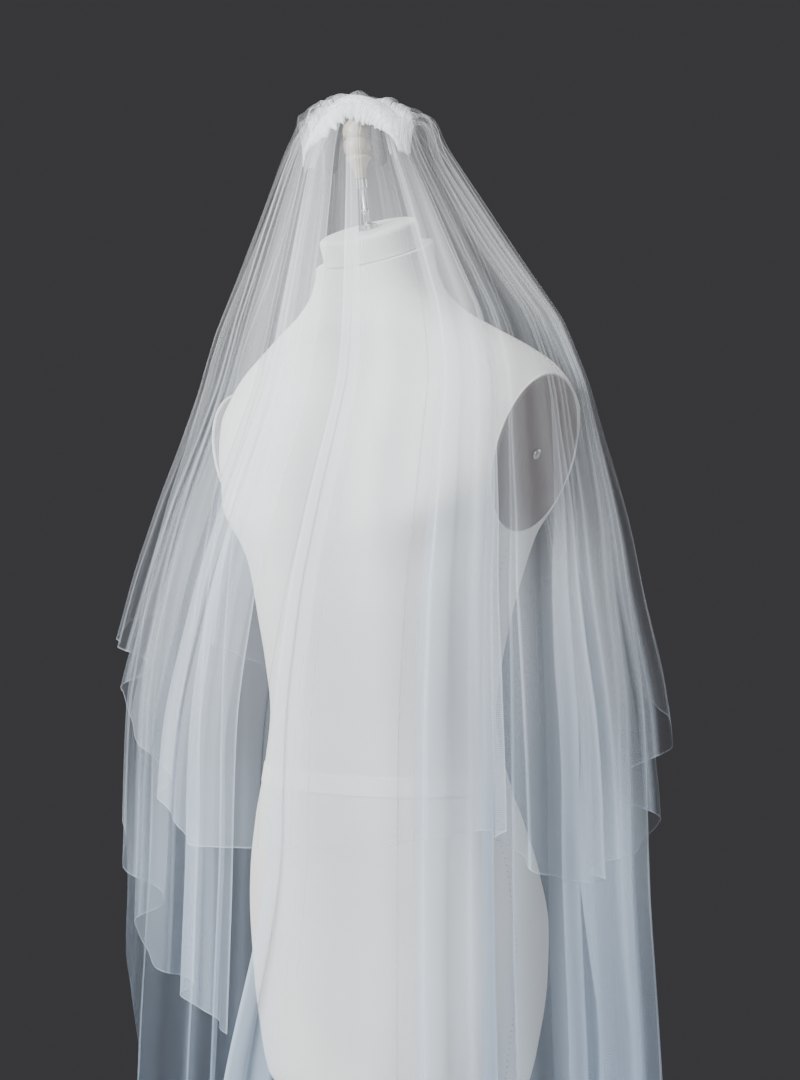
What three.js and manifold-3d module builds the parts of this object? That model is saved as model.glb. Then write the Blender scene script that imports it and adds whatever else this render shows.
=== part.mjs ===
// A two-tier bridal veil of soft tulle, gathered on a comb, resting on a limbless dress form with its stand.
// Millimetres, +Z up. The origin is the middle of the stand's flat underside.
// The form faces -Y and its left side is +X. Azimuths are counted from the front, positive to the form's left.
import * as THREE from "three";
import { mergeVertices } from "three/addons/utils/BufferGeometryUtils.js";
import Module from "manifold-3d";

const wasm = await Module();
wasm.setup();

const GAP = 0.3;
const RAD = Math.PI / 180;

// Stand
const BASE_RADIUS = 205;
const BASE_EDGE = 12;
const BASE_HEIGHT = 34;
const BOSS_RADIUS = 34;
const BOSS_TOP = 62;
const POLE_RADIUS = 16;

// Form
const TORSO_BOTTOM = 675;
const SECTION_POWER = 2.2;
const TORSO_SIDES = 40;
const ARM_PLANE_X = 170;
const ARM_PLANE_Z = 1277;
const ARM_LEAN = 16 * RAD;
const ARM_PLATE_HALF_WIDTH = 57;
const ARM_PLATE_HALF_HEIGHT = 71;
const ARM_PLATE_THICKNESS = 3;
const SCREW_RADIUS = 5;
const SCREW_HEIGHT = 1.6;
const NECK_CUT = { y: -16, z: 1466, tilt: 21 * RAD };
const NECK_CAP_RADIUS = 47;
const NECK_CAP_HEIGHT = 25;

// Finial, stem and the arch that the comb is set in
const FINIAL_LEAN = 11 * RAD;
const STEM_LENGTH = 46;
const STEM_RADIUS = 2.6;
const FINIAL_LENGTH = 56;
const REST_HALF_WIDTH = 30;
const REST_RISE = 46;
const REST_TUBE = 6.5;
const COMB_THICKNESS = 1.6;
const COMB_TEETH = 13;
const COMB_TOOTH_LENGTH = 30;
const COMB_BAR = 3.2;
const COMB_LEAN = 22 * RAD;

// Gathering band: an arched pad of bunched tulle, an ellipse in plan
const BAND_HALF_LENGTH = 59;
const BAND_HALF_DEPTH = 12.5;
const BAND_RISE = 56;
const BAND_ARCH_POWER = 1.5;
const BAND_HALF_THICKNESS = 3.3;
const BAND_RUCHES = 26;
const BAND_STEPS_PER_RUCHE = 2;
const BAND_RUCHE_DEPTH = 0.9;
const BAND_MIDDLE_Y = -42;

// Veil
const WALL = 1.2;
const COLUMNS_PER_FOLD = 4;
const SHOULDER_HEIGHT = 1335;
const SHOULDER_EASE = { share: 0.78, across: 0.5, down: 80 };
const SHOULDER_ROWS = [1366, 1325, 1262];

const colours = {
  tulle: { color: 0xe9eef1, roughness: 0.8, metalness: 0 },
  gather: { color: 0xf3f5f6, roughness: 0.75, metalness: 0 },
  linen: { color: 0xdcdddb, roughness: 0.9, metalness: 0 },
  plate: { color: 0x8a8384, roughness: 0.6, metalness: 0 },
  steel: { color: 0xb9bcc0, roughness: 0.3, metalness: 1 },
  knob: { color: 0xc9c2b4, roughness: 0.45, metalness: 0 },
  mesh: { color: 0x1d1e20, roughness: 0.85, metalness: 0 },
  comb: { color: 0xd6d9da, roughness: 0.25, metalness: 0 },
  iron: { color: 0x3a3c3f, roughness: 0.5, metalness: 0.6 },
};

const part = new THREE.Group();

function add(name, geometry, colour) {
  const mesh = new THREE.Mesh(geometry, new THREE.MeshStandardMaterial(colours[colour]));
  mesh.name = name;
  part.add(mesh);
  return mesh;
}

const mix = (a, b, t) => a + (b - a) * t;

// One value of a table at any place along its key column, the rows in rising or falling order of the key.
function fromTable(rows, key, value, at) {
  const ascending = rows[rows.length - 1][key] > rows[0][key];
  const ordered = ascending ? rows : [...rows].reverse();
  if (at <= ordered[0][key]) return ordered[0][value];
  const after = ordered.findIndex((row) => row[key] >= at);
  if (after < 0) return ordered[ordered.length - 1][value];
  const low = ordered[after - 1];
  const high = ordered[after];
  return mix(low[value], high[value], (at - low[key]) / (high[key] - low[key]));
}

function meshFrom(points, triangles) {
  const geometry = new THREE.BufferGeometry();
  geometry.setAttribute("position", new THREE.Float32BufferAttribute(points.flat(), 3));
  geometry.setIndex(triangles.flat());
  return geometry;
}

// A closed solid through rings of equal length, with a flat fan at each end. Rings turn the same way, seen from
// their far end as counter-clockwise.
function loft(rings) {
  const sides = rings[0].length;
  const points = rings.flat();
  const triangles = [];
  for (let row = 0; row + 1 < rings.length; row += 1) {
    for (let side = 0; side < sides; side += 1) {
      const a = row * sides + side;
      const b = row * sides + (side + 1) % sides;
      triangles.push([a, b, b + sides], [a, b + sides, a + sides]);
    }
  }
  const last = (rings.length - 1) * sides;
  for (let side = 1; side + 1 < sides; side += 1) {
    triangles.push([0, side + 1, side], [last, last + side, last + side + 1]);
  }
  return meshFrom(points, triangles);
}

function toSolid(geometry) {
  const plain = geometry.clone();
  plain.deleteAttribute("normal");
  plain.deleteAttribute("uv");
  const merged = mergeVertices(plain, 1e-4);
  const vertProperties = new Float32Array(merged.attributes.position.array);
  const triVerts = new Uint32Array(merged.index.array);
  return new wasm.Manifold(new wasm.Mesh({ numProp: 3, vertProperties, triVerts }));
}

function toGeometry(solid) {
  const mesh = solid.getMesh();
  const geometry = new THREE.BufferGeometry();
  geometry.setAttribute("position", new THREE.BufferAttribute(mesh.vertProperties, 3));
  geometry.setIndex(new THREE.BufferAttribute(mesh.triVerts, 1));
  return geometry;
}

// A turned piece about +Z from [radius, height] pairs that start and end on the axis.
function turned(profile, sides) {
  const geometry = new THREE.LatheGeometry(profile.map(([r, h]) => new THREE.Vector2(r, h)), sides);
  return geometry.rotateX(Math.PI / 2);
}

function buildStand() {
  add("stand_base", turned([
    [0, 0], [BASE_RADIUS, 0], [BASE_RADIUS, BASE_EDGE - 4], [BASE_RADIUS - 5, BASE_EDGE],
    [120, 25], [BOSS_RADIUS + 6, BASE_HEIGHT], [BOSS_RADIUS, BASE_HEIGHT + 6], [BOSS_RADIUS - 4, BOSS_TOP],
    [0, BOSS_TOP],
  ], 32), "iron");
  const foot = BOSS_TOP + GAP;
  const top = TORSO_BOTTOM - GAP;
  add("stand_pole", turned([
    [0, foot], [POLE_RADIUS, foot], [POLE_RADIUS, 380], [POLE_RADIUS + 5, 384], [POLE_RADIUS + 5, 424],
    [POLE_RADIUS - 2, 428], [POLE_RADIUS - 2, top - 8], [POLE_RADIUS + 12, top - 6],
    [POLE_RADIUS + 12, top], [0, top],
  ], 18), "steel");
}

// Torso sections: height, half width, depth in front and behind the middle, and the middle itself.
const torsoSections = [
  { z: TORSO_BOTTOM, width: 112, front: 74, back: 92, middle: 8 },
  { z: 692, width: 131, front: 85, back: 112, middle: 8 },
  { z: 733, width: 141, front: 90, back: 124, middle: 8 },
  { z: 790, width: 149, front: 94, back: 132, middle: 8 },
  { z: 840, width: 151, front: 97, back: 133, middle: 7 },
  { z: 890, width: 146, front: 100, back: 122, middle: 5 },
  { z: 935, width: 136, front: 100, back: 106, middle: 3 },
  { z: 990, width: 120, front: 96, back: 88, middle: 0 },
  { z: 1040, width: 113, front: 94, back: 78, middle: 0 },
  { z: 1085, width: 118, front: 98, back: 84, middle: 0 },
  { z: 1130, width: 127, front: 103, back: 93, middle: 0 },
  { z: 1180, width: 141, front: 106, back: 102, middle: 2 },
  { z: 1207, width: 152, front: 107, back: 106, middle: 3 },
  { z: 1235, width: 173, front: 106, back: 109, middle: 5 },
  { z: 1277, width: 196, front: 103, back: 110, middle: 7 },
  { z: 1315, width: 201, front: 94, back: 103, middle: 10 },
  { z: 1340, width: 192, front: 83, back: 89, middle: 11 },
  { z: 1358, width: 177, front: 78, back: 84, middle: 10 },
  { z: 1376, width: 150, front: 73, back: 80, middle: 6 },
  { z: 1394, width: 116, front: 70, back: 76, middle: 0 },
  { z: 1412, width: 84, front: 63, back: 68, middle: -5 },
  { z: 1432, width: 63, front: 57, back: 60, middle: -9 },
  { z: 1455, width: 55, front: 54, back: 54, middle: -13 },
  { z: 1530, width: 53, front: 53, back: 53, middle: -22 },
];
const bust = { azimuth: 36, z: 1228, rise: 17, spreadAzimuth: 17, spreadZ: 36 };

function bustRise(azimuth, z) {
  const across = (Math.abs(azimuth) - bust.azimuth) / bust.spreadAzimuth;
  const down = (z - bust.z) / bust.spreadZ;
  return bust.rise * Math.exp(-across * across - down * down);
}

function torsoRing(section) {
  const ring = [];
  for (let side = 0; side < TORSO_SIDES; side += 1) {
    const azimuth = 360 * side / TORSO_SIDES - 180;
    const sin = Math.sin(azimuth * RAD);
    const cos = Math.cos(azimuth * RAD);
    const depth = cos > 0 ? section.front : section.back;
    const x = section.width * Math.sign(sin) * Math.abs(sin) ** (2 / SECTION_POWER);
    const y = -depth * Math.sign(cos) * Math.abs(cos) ** (2 / SECTION_POWER);
    const stretch = 1 + bustRise(azimuth, section.z) / Math.hypot(x, y);
    ring.push([x * stretch, section.middle + y * stretch, section.z]);
  }
  return ring;
}

// A large block whose inner face is the plane that trims the form: at each arm, and across the neck.
function trimBlock(place) {
  const block = new THREE.BoxGeometry(400, 400, 400);
  block.translate(0, 0, 200);
  return toSolid(block.applyMatrix4(place));
}

function placed(x, y, z, tiltX, tiltY) {
  const turn = new THREE.Euler(tiltX, tiltY, 0, "XYZ");
  const place = new THREE.Matrix4().makeRotationFromEuler(turn);
  return place.setPosition(x, y, z);
}

const armPlace = (side) => placed(side * ARM_PLANE_X, 4, ARM_PLANE_Z, 0, side * (Math.PI / 2 + ARM_LEAN));
const neckPlace = placed(0, NECK_CUT.y, NECK_CUT.z, NECK_CUT.tilt, 0);

function buildForm() {
  let torso = toSolid(loft(torsoSections.map(torsoRing)));
  torso = torso.subtract(trimBlock(armPlace(1)));
  torso = torso.subtract(trimBlock(armPlace(-1)));
  torso = torso.subtract(trimBlock(neckPlace));
  add("form_torso", toGeometry(torso), "linen");
  for (const [name, side] of [["left", 1], ["right", -1]]) {
    const plate = turned([
      [0, GAP], [1, GAP], [1, ARM_PLATE_THICKNESS - 0.6], [0.985, ARM_PLATE_THICKNESS], [0, ARM_PLATE_THICKNESS],
    ], 36).scale(ARM_PLATE_HALF_HEIGHT, ARM_PLATE_HALF_WIDTH, 1);
    add(`arm_plate_${name}`, plate.applyMatrix4(armPlace(side)), "plate");
    const foot = ARM_PLATE_THICKNESS + GAP;
    const screw = turned([
      [0, foot], [SCREW_RADIUS, foot], [SCREW_RADIUS - 0.6, foot + SCREW_HEIGHT], [2, foot + SCREW_HEIGHT],
      [1.4, foot + 0.6], [0, foot + 0.6],
    ], 14);
    add(`plate_screw_${name}`, screw.applyMatrix4(armPlace(side)), "steel");
  }
  const cap = turned([
    [0, GAP], [NECK_CAP_RADIUS, GAP], [NECK_CAP_RADIUS, NECK_CAP_HEIGHT - 3],
    [NECK_CAP_RADIUS - 3, NECK_CAP_HEIGHT], [0, NECK_CAP_HEIGHT],
  ], 36);
  add("neck_cap", cap.applyMatrix4(neckPlace), "linen");
}

// The finial stands on the cap, on a line that leans forward less than the cap does, so its foot is a low cone.
const capTop = new THREE.Vector3(0, 0, NECK_CAP_HEIGHT).applyMatrix4(neckPlace);
const finialPlace = placed(0, capTop.y, capTop.z, FINIAL_LEAN, 0);
const finialTop = new THREE.Vector3(0, 0, STEM_LENGTH + FINIAL_LENGTH).applyMatrix4(finialPlace);

function buildFinial() {
  const stem = toSolid(turned([
    [0, -30], [9, -30], [9, 4], [STEM_RADIUS, 6], [STEM_RADIUS, 14], [STEM_RADIUS + 1, 15], [STEM_RADIUS + 1, 18],
    [STEM_RADIUS, 19], [STEM_RADIUS, STEM_LENGTH - 8], [5, STEM_LENGTH - 8], [5, STEM_LENGTH], [0, STEM_LENGTH],
  ], 12).applyMatrix4(finialPlace));
  const under = new THREE.BoxGeometry(200, 200, 200).translate(0, 0, NECK_CAP_HEIGHT + GAP - 100);
  add("finial_stem", toGeometry(stem.subtract(toSolid(under.applyMatrix4(neckPlace)))), "steel");
  const foot = STEM_LENGTH + GAP;
  const knob = turned([
    [0, foot], [5, foot], [5.6, foot + 8], [8.5, foot + 14], [11.6, foot + 17.5], [12.4, foot + 20], [9.2, foot + 22.5],
    [12.6, foot + 25], [13, foot + 30], [12.4, foot + 35], [9.4, foot + 37.5], [12.2, foot + 40], [12, foot + 45],
    [10, foot + 50.5], [6, foot + 54.2], [0, foot + FINIAL_LENGTH - GAP],
  ], 18);
  add("finial", knob.applyMatrix4(finialPlace), "knob");
}

// The arch stands over the finial and touches its top. The comb is set against the back of the arch and leans away
// from the finial, and the gathering band lies on top of the arch.
const restTop = finialTop.z + GAP + REST_TUBE;
const restFoot = restTop - REST_RISE;
const restFlat = REST_TUBE * Math.cos(Math.PI / 10);
const bandEnd = restTop + restFlat + GAP + BAND_HALF_THICKNESS - BAND_RISE;

class ArchCurve extends THREE.Curve {
  getPoint(t, target = new THREE.Vector3()) {
    const turn = mix(-100, 100, t) * RAD;
    return target.set(REST_HALF_WIDTH * Math.sin(turn), BAND_MIDDLE_Y, restFoot + REST_RISE * Math.cos(turn));
  }
}

function buildCombRest() {
  const section = new THREE.Shape().absarc(0, 0, REST_TUBE, 0, 2 * Math.PI);
  const path = new ArchCurve();
  add("comb_rest", new THREE.ExtrudeGeometry(section, { steps: 20, curveSegments: 5, extrudePath: path }), "mesh");
}

function buildComb() {
  const outline = new THREE.Shape();
  const half = REST_HALF_WIDTH;
  const top = (x) => REST_RISE * (Math.sqrt(1 - (x / (half + REST_TUBE)) ** 2) - 1);
  const bottom = (x) => top(x) - COMB_BAR;
  const pitch = 2 * half / COMB_TEETH;
  outline.moveTo(-half, top(-half));
  for (let tooth = 0; tooth < COMB_TEETH; tooth += 1) {
    const left = -half + (tooth + 0.25) * pitch;
    const right = left + pitch / 2;
    outline.lineTo(left, bottom(left));
    outline.lineTo(left + 0.4, bottom(left) - COMB_TOOTH_LENGTH);
    outline.lineTo(right - 0.4, bottom(left) - COMB_TOOTH_LENGTH);
    outline.lineTo(right, bottom(right));
  }
  for (let step = 12; step > 0; step -= 1) {
    const x = mix(-half, half, step / 12);
    outline.lineTo(x, top(x));
  }
  outline.closePath();
  const comb = new THREE.ExtrudeGeometry(outline, { depth: COMB_THICKNESS, bevelEnabled: false });
  comb.rotateX(Math.PI / 2);
  comb.translate(0, COMB_THICKNESS, 0);
  comb.rotateX(COMB_LEAN);
  comb.translate(0, BAND_MIDDLE_Y + REST_TUBE + GAP, restTop);
  add("comb", comb, "comb");
}

// Height of the band's middle over its length, the turn running from one end at -90 degrees to the other.
const bandHeight = (turn) => bandEnd + BAND_RISE * Math.abs(Math.cos(turn)) ** BAND_ARCH_POWER;

function buildBand() {
  const rings = [];
  const steps = BAND_RUCHES * BAND_STEPS_PER_RUCHE;
  const sides = 8;
  for (let step = 0; step <= steps; step += 1) {
    const turn = mix(-84, 84, step / steps) * RAD;
    const ruche = step % BAND_STEPS_PER_RUCHE === 0 ? 0 : -BAND_RUCHE_DEPTH;
    const depth = BAND_HALF_DEPTH * Math.cos(turn) + ruche * Math.cos(turn);
    const thick = BAND_HALF_THICKNESS + ruche;
    const ring = [];
    for (let side = 0; side < sides; side += 1) {
      const angle = 2 * Math.PI * side / sides;
      ring.push([
        BAND_HALF_LENGTH * Math.sin(turn),
        BAND_MIDDLE_Y + depth * Math.cos(angle),
        bandHeight(turn) + thick * Math.sin(angle),
      ]);
    }
    rings.push(ring);
  }
  add("gather_band", loft(rings), "gather");
}

// Sections of the veil at its ridges, from the stitching on the band, over the puff, to the top of the shoulders.
// crown is the height at the front and back, side the height at the two ends of the band, and inset and drop are how
// far the lower tier lies inside and under the upper one.
const crownSections = [
  { width: 60.2, depth: 13.4, middle: -42, crown: bandEnd + BAND_RISE, side: bandEnd, pleat: 0, inset: -3.2, drop: 3.4 },
  { width: 65, depth: 20, middle: -40, crown: 1612, side: 1584, pleat: 0.02, inset: -2, drop: 7 },
  { width: 72, depth: 36, middle: -34, crown: 1604, side: 1586, pleat: 0.06, inset: 1, drop: 7 },
  { width: 88, depth: 60, middle: -27, crown: 1574, side: 1548, pleat: 0.14, inset: 4, drop: 4 },
  { width: 127, depth: 90, middle: -14, crown: 1509, side: 1480, pleat: 0.26, inset: 4, drop: 3 },
  { width: 180, depth: 127, middle: 0, crown: 1408, side: 1404, pleat: 0.4, inset: 4, drop: 0 },
];
// Sections at the ridges below that, at any height: the upper tier, and the lower tier inside it.
const upperSections = [
  { z: 1408, width: 180, depth: 127, middle: 0 },
  { z: 1374, width: 194, depth: 137, middle: 2 },
  { z: 1336, width: 206, depth: 152, middle: 5 },
  { z: 1299, width: 214, depth: 170, middle: 5 },
  { z: 1223, width: 233, depth: 206, middle: 4 },
  { z: 1148, width: 248, depth: 233, middle: 0 },
  { z: 1035, width: 268, depth: 266, middle: 0 },
  { z: 900, width: 278, depth: 278, middle: 0 },
];
const lowerSections = [
  { z: 1408, width: 176, depth: 123, middle: 0 },
  { z: 1374, width: 190, depth: 133, middle: 2 },
  { z: 1336, width: 202, depth: 147, middle: 5 },
  { z: 1299, width: 209, depth: 163, middle: 5 },
  { z: 1223, width: 224, depth: 195, middle: 4 },
  { z: 1148, width: 234, depth: 217, middle: 0 },
  { z: 1035, width: 245, depth: 240, middle: 0 },
  { z: 900, width: 248, depth: 246, middle: 0 },
  { z: 700, width: 260, depth: 258, middle: 0 },
  { z: 520, width: 270, depth: 268, middle: 0 },
];

// The folds, one row for each ridge: azimuth, depth from ridge to valley at the hem, and the height of each hem there.
const folds = [
  { azimuth: -170, depth: 16, upper: 1190, lower: 530 },
  { azimuth: -158, depth: 22, upper: 1100, lower: 528 },
  { azimuth: -143, depth: 26, upper: 1052, lower: 524 },
  { azimuth: -128, depth: 22, upper: 1040, lower: 530 },
  { azimuth: -114, depth: 26, upper: 1062, lower: 532 },
  { azimuth: -99, depth: 24, upper: 1090, lower: 540 },
  { azimuth: -84, depth: 20, upper: 1112, lower: 566 },
  { azimuth: -72, depth: 22, upper: 1128, lower: 640 },
  { azimuth: -60, depth: 24, upper: 1124, lower: 800 },
  { azimuth: -48, depth: 26, upper: 1110, lower: 940 },
  { azimuth: -34, depth: 24, upper: 1104, lower: 905 },
  { azimuth: -22, depth: 22, upper: 1068, lower: 860 },
  { azimuth: -12, depth: 20, upper: 1026, lower: 832 },
  { azimuth: -3, depth: 18, upper: 980, lower: 812 },
  { azimuth: 5, depth: 18, upper: 948, lower: 790 },
  { azimuth: 15, depth: 18, upper: 950, lower: 680 },
  { azimuth: 27, depth: 14, upper: 954, lower: 650 },
  { azimuth: 40, depth: 14, upper: 955, lower: 620 },
  { azimuth: 50, depth: 22, upper: 962, lower: 590 },
  { azimuth: 59, depth: 26, upper: 966, lower: 560 },
  { azimuth: 70, depth: 26, upper: 926, lower: 540 },
  { azimuth: 81, depth: 24, upper: 915, lower: 532 },
  { azimuth: 91, depth: 24, upper: 934, lower: 528 },
  { azimuth: 101, depth: 26, upper: 954, lower: 526 },
  { azimuth: 115, depth: 24, upper: 1012, lower: 526 },
  { azimuth: 129, depth: 26, upper: 1034, lower: 528 },
  { azimuth: 144, depth: 28, upper: 1046, lower: 530 },
  { azimuth: 158, depth: 22, upper: 1104, lower: 530 },
  { azimuth: 170, depth: 16, upper: 1196, lower: 530 },
];
const LOWER_OPENING = { right: 5, left: 15 };

// Where a ridge or valley lies: a whole number is a ridge of the table, halfway between two is a valley.
function foldAt(table, place) {
  const low = Math.min(Math.floor(place), table.length - 2);
  const t = place - low;
  const at = (column) => mix(table[low][column], table[low + 1][column], t);
  return { azimuth: at("azimuth"), depth: at("depth"), hem: at("hem"), phase: 2 * Math.PI * place };
}

// The pleats are pressed flatter where the cloth lies on a shoulder.
function shoulderEase(azimuth, z) {
  const across = Math.cos(azimuth * RAD) / SHOULDER_EASE.across;
  const down = (z - SHOULDER_HEIGHT) / SHOULDER_EASE.down;
  return 1 - SHOULDER_EASE.share * Math.exp(-across * across - down * down);
}

// The section that a tier's ridges lie on in each row of its grid, at one fold.
function sectionAt(tier, fold, level) {
  const endwise = Math.abs(Math.cos(fold.azimuth * RAD)) ** BAND_ARCH_POWER;
  if (level < crownSections.length) {
    const row = crownSections[level];
    return {
      width: row.width - tier.inside * row.inset,
      depth: row.depth - tier.inside * row.inset,
      middle: row.middle,
      z: mix(row.side, row.crown, endwise) - tier.inside * row.drop,
      pleat: row.pleat,
    };
  }
  const last = crownSections[crownSections.length - 1];
  const lastShoulder = crownSections.length + SHOULDER_ROWS.length - 1;
  const t = (level - lastShoulder) / tier.hangingRows;
  const lowest = SHOULDER_ROWS[SHOULDER_ROWS.length - 1];
  const hem = Math.min(fold.hem, lowest - 10);
  const z = t > 0 ? mix(lowest, hem, t) : SHOULDER_ROWS[level - crownSections.length];
  return {
    width: fromTable(tier.sections, "z", "width", z),
    depth: fromTable(tier.sections, "z", "depth", z),
    middle: fromTable(tier.sections, "z", "middle", z),
    z,
    pleat: Math.min(1, mix(last.pleat, 1, (last.crown - z) / 330)),
  };
}

function tierPoint(tier, fold, level) {
  const section = sectionAt(tier, fold, level);
  const azimuth = fold.azimuth * RAD;
  const valley = (1 - Math.cos(fold.phase)) / 2;
  const inward = fold.depth * section.pleat * shoulderEase(fold.azimuth, section.z) * valley;
  return new THREE.Vector3(
    (section.width - inward) * Math.sin(azimuth),
    section.middle - (section.depth - inward) * Math.cos(azimuth),
    section.z,
  );
}

// A closed wall on a grid of points: each point is moved half the wall's thickness to both sides.
function wallFrom(grid) {
  const rows = grid.length;
  const columns = grid[0].length;
  const outer = [];
  const inner = [];
  for (let row = 0; row < rows; row += 1) {
    for (let column = 0; column < columns; column += 1) {
      const here = grid[row][column];
      const along = grid[row][Math.min(column + 1, columns - 1)].clone().sub(grid[row][Math.max(column - 1, 0)]);
      const down = grid[Math.min(row + 1, rows - 1)][column].clone().sub(grid[Math.max(row - 1, 0)][column]);
      const normal = down.cross(along).normalize().multiplyScalar(WALL / 2);
      outer.push(here.clone().add(normal).toArray());
      inner.push(here.clone().sub(normal).toArray());
    }
  }
  const count = rows * columns;
  const triangles = [];
  const quad = (a, b, c, d) => triangles.push([a, b, c], [a, c, d]);
  for (let row = 0; row + 1 < rows; row += 1) {
    for (let column = 0; column + 1 < columns; column += 1) {
      const a = row * columns + column;
      quad(a, a + columns, a + columns + 1, a + 1);
      quad(count + a, count + a + 1, count + a + columns + 1, count + a + columns);
    }
  }
  for (let row = 0; row + 1 < rows; row += 1) {
    const left = row * columns;
    const right = left + columns - 1;
    quad(left, count + left, count + left + columns, left + columns);
    quad(right, right + columns, count + right + columns, count + right);
  }
  for (let column = 0; column + 1 < columns; column += 1) {
    const bottom = (rows - 1) * columns + column;
    quad(column, column + 1, count + column + 1, count + column);
    quad(bottom, count + bottom, count + bottom + 1, bottom + 1);
  }
  return meshFrom([...outer, ...inner], triangles);
}

function buildTier(name, tier, table) {
  const grid = [];
  const levels = crownSections.length + SHOULDER_ROWS.length + tier.hangingRows;
  for (let level = 0; level < levels; level += 1) {
    const row = [];
    for (let column = 0; column <= (table.length - 1) * COLUMNS_PER_FOLD; column += 1) {
      row.push(tierPoint(tier, foldAt(table, column / COLUMNS_PER_FOLD), level));
    }
    grid.push(row);
  }
  add(name, wallFrom(grid), "tulle");
}

// The lower tier starts at the opening's left edge, goes round the back and ends at the opening's right edge.
function lowerTable() {
  const row = (fold, turn) => ({ azimuth: fold.azimuth + turn, depth: fold.depth, hem: fold.lower });
  const leftSide = folds.filter((fold) => fold.azimuth >= LOWER_OPENING.left).map((fold) => row(fold, 0));
  const rightSide = folds.filter((fold) => fold.azimuth <= LOWER_OPENING.right).map((fold) => row(fold, 360));
  return [...leftSide, ...rightSide];
}

function buildVeil() {
  const upper = { sections: upperSections, inside: 0, hangingRows: 2 };
  const lower = { sections: lowerSections, inside: 1, hangingRows: 3 };
  buildTier("veil_upper_tier", upper, folds.map((fold) => ({ ...fold, hem: fold.upper })));
  buildTier("veil_lower_tier", lower, lowerTable());
}

buildStand();
buildForm();
buildFinial();
buildCombRest();
buildComb();
buildBand();
buildVeil();

export default part;
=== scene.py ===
import bisect
import math
import random

import bmesh
import bpy
from mathutils import Euler, Matrix, Vector, noise


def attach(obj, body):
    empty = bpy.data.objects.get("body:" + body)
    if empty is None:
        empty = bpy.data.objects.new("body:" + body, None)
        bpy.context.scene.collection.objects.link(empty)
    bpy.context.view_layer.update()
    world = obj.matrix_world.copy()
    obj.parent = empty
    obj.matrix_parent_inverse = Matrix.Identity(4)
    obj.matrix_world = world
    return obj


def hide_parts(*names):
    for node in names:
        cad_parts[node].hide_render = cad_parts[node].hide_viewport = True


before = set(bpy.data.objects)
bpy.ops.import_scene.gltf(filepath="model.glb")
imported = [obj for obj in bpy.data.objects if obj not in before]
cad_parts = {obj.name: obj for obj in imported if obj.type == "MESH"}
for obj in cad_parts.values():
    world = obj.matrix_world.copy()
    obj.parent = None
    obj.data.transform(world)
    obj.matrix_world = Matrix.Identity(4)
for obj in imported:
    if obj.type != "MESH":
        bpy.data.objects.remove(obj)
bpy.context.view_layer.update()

# A two-tier tulle veil on a dress form. Lengths in the tables are millimetres, in the frame of the part,
# and MM turns them into Blender's metres. Azimuths are degrees from the front, positive to the form's left.
MM = 0.001
RAD = math.pi / 180
rng = random.Random(7)

# Camera: at the photograph's viewing angle, level, with the form's axis a little left of the middle.
CAMERA_AZIMUTH = 40 * RAD
CAMERA_DISTANCE = 1.9
CAMERA_HEIGHT = 1.2
CAMERA_ASIDE = 0.014
CAMERA_LENS = 67.4


def make_camera():
    data = bpy.data.cameras.new("camera")
    data.lens = CAMERA_LENS
    data.sensor_width = 36
    camera = bpy.data.objects.new("camera", data)
    bpy.context.scene.collection.objects.link(camera)
    across = Vector((math.cos(CAMERA_AZIMUTH), math.sin(CAMERA_AZIMUTH), 0))
    back = Vector((math.sin(CAMERA_AZIMUTH), -math.cos(CAMERA_AZIMUTH), 0))
    camera.location = back * CAMERA_DISTANCE + across * CAMERA_ASIDE + Vector((0, 0, CAMERA_HEIGHT))
    camera.rotation_euler = (math.pi / 2, 0, CAMERA_AZIMUTH)
    bpy.context.scene.camera = camera


# Small helpers for numbers

def mix(a, b, t):
    return a + (b - a) * t


def smooth(t):
    t = max(0.0, min(1.0, t))
    return t * t * (3 - 2 * t)


def degrees_between(azimuth, other):
    """The turn from one azimuth to another, from -180 to 180."""
    return (azimuth - other + 180) % 360 - 180


def curve_value(keys, values, at):
    """A smooth curve through a table's values (monotone keys), held level past its ends."""
    if at <= keys[0]:
        return values[0]
    if at >= keys[-1]:
        return values[-1]
    high = bisect.bisect_right(keys, at)
    low = high - 1
    step = keys[high] - keys[low]
    t = (at - keys[low]) / step

    def slope(i):
        if i == 0 or i == len(keys) - 1:
            j = min(max(i, 1), len(keys) - 1)
            return (values[j] - values[j - 1]) / (keys[j] - keys[j - 1])
        before = (values[i] - values[i - 1]) / (keys[i] - keys[i - 1])
        after = (values[i + 1] - values[i]) / (keys[i + 1] - keys[i])
        if before * after <= 0:
            return 0.0
        return 2 * before * after / (before + after)

    a, b = slope(low) * step, slope(high) * step
    return ((2 * t ** 3 - 3 * t ** 2 + 1) * values[low] + (t ** 3 - 2 * t ** 2 + t) * a
            + (-2 * t ** 3 + 3 * t ** 2) * values[high] + (t ** 3 - t ** 2) * b)


class Table:
    """Rows of named columns, sorted by the first one."""

    def __init__(self, names, rows):
        self.names = names.split()
        self.rows = sorted(rows)
        self.columns = {name: [row[i] for row in self.rows] for i, name in enumerate(self.names)}
        self.keys = self.columns[self.names[0]]

    def at(self, name, key):
        return curve_value(self.keys, self.columns[name], key)


# Small helpers for objects

def new_object(name, mesh, material, smooth_angle=None):
    obj = bpy.data.objects.new(name, mesh)
    bpy.context.scene.collection.objects.link(obj)
    mesh.materials.append(material)
    mesh.shade_smooth()
    if smooth_angle is not None:
        mesh.set_sharp_from_angle(angle=smooth_angle * RAD)
    return obj


def mesh_from(name, points, faces, uvs=None):
    """A mesh from points in millimetres. uvs holds one pair for each point."""
    mesh = bpy.data.meshes.new(name)
    mesh.from_pydata([Vector(p) * MM for p in points], [], faces)
    if uvs is not None:
        layer = mesh.uv_layers.new(name="cloth")
        for loop in mesh.loops:
            layer.data[loop.index].uv = uvs[loop.vertex_index]
    mesh.update()
    return mesh


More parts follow.
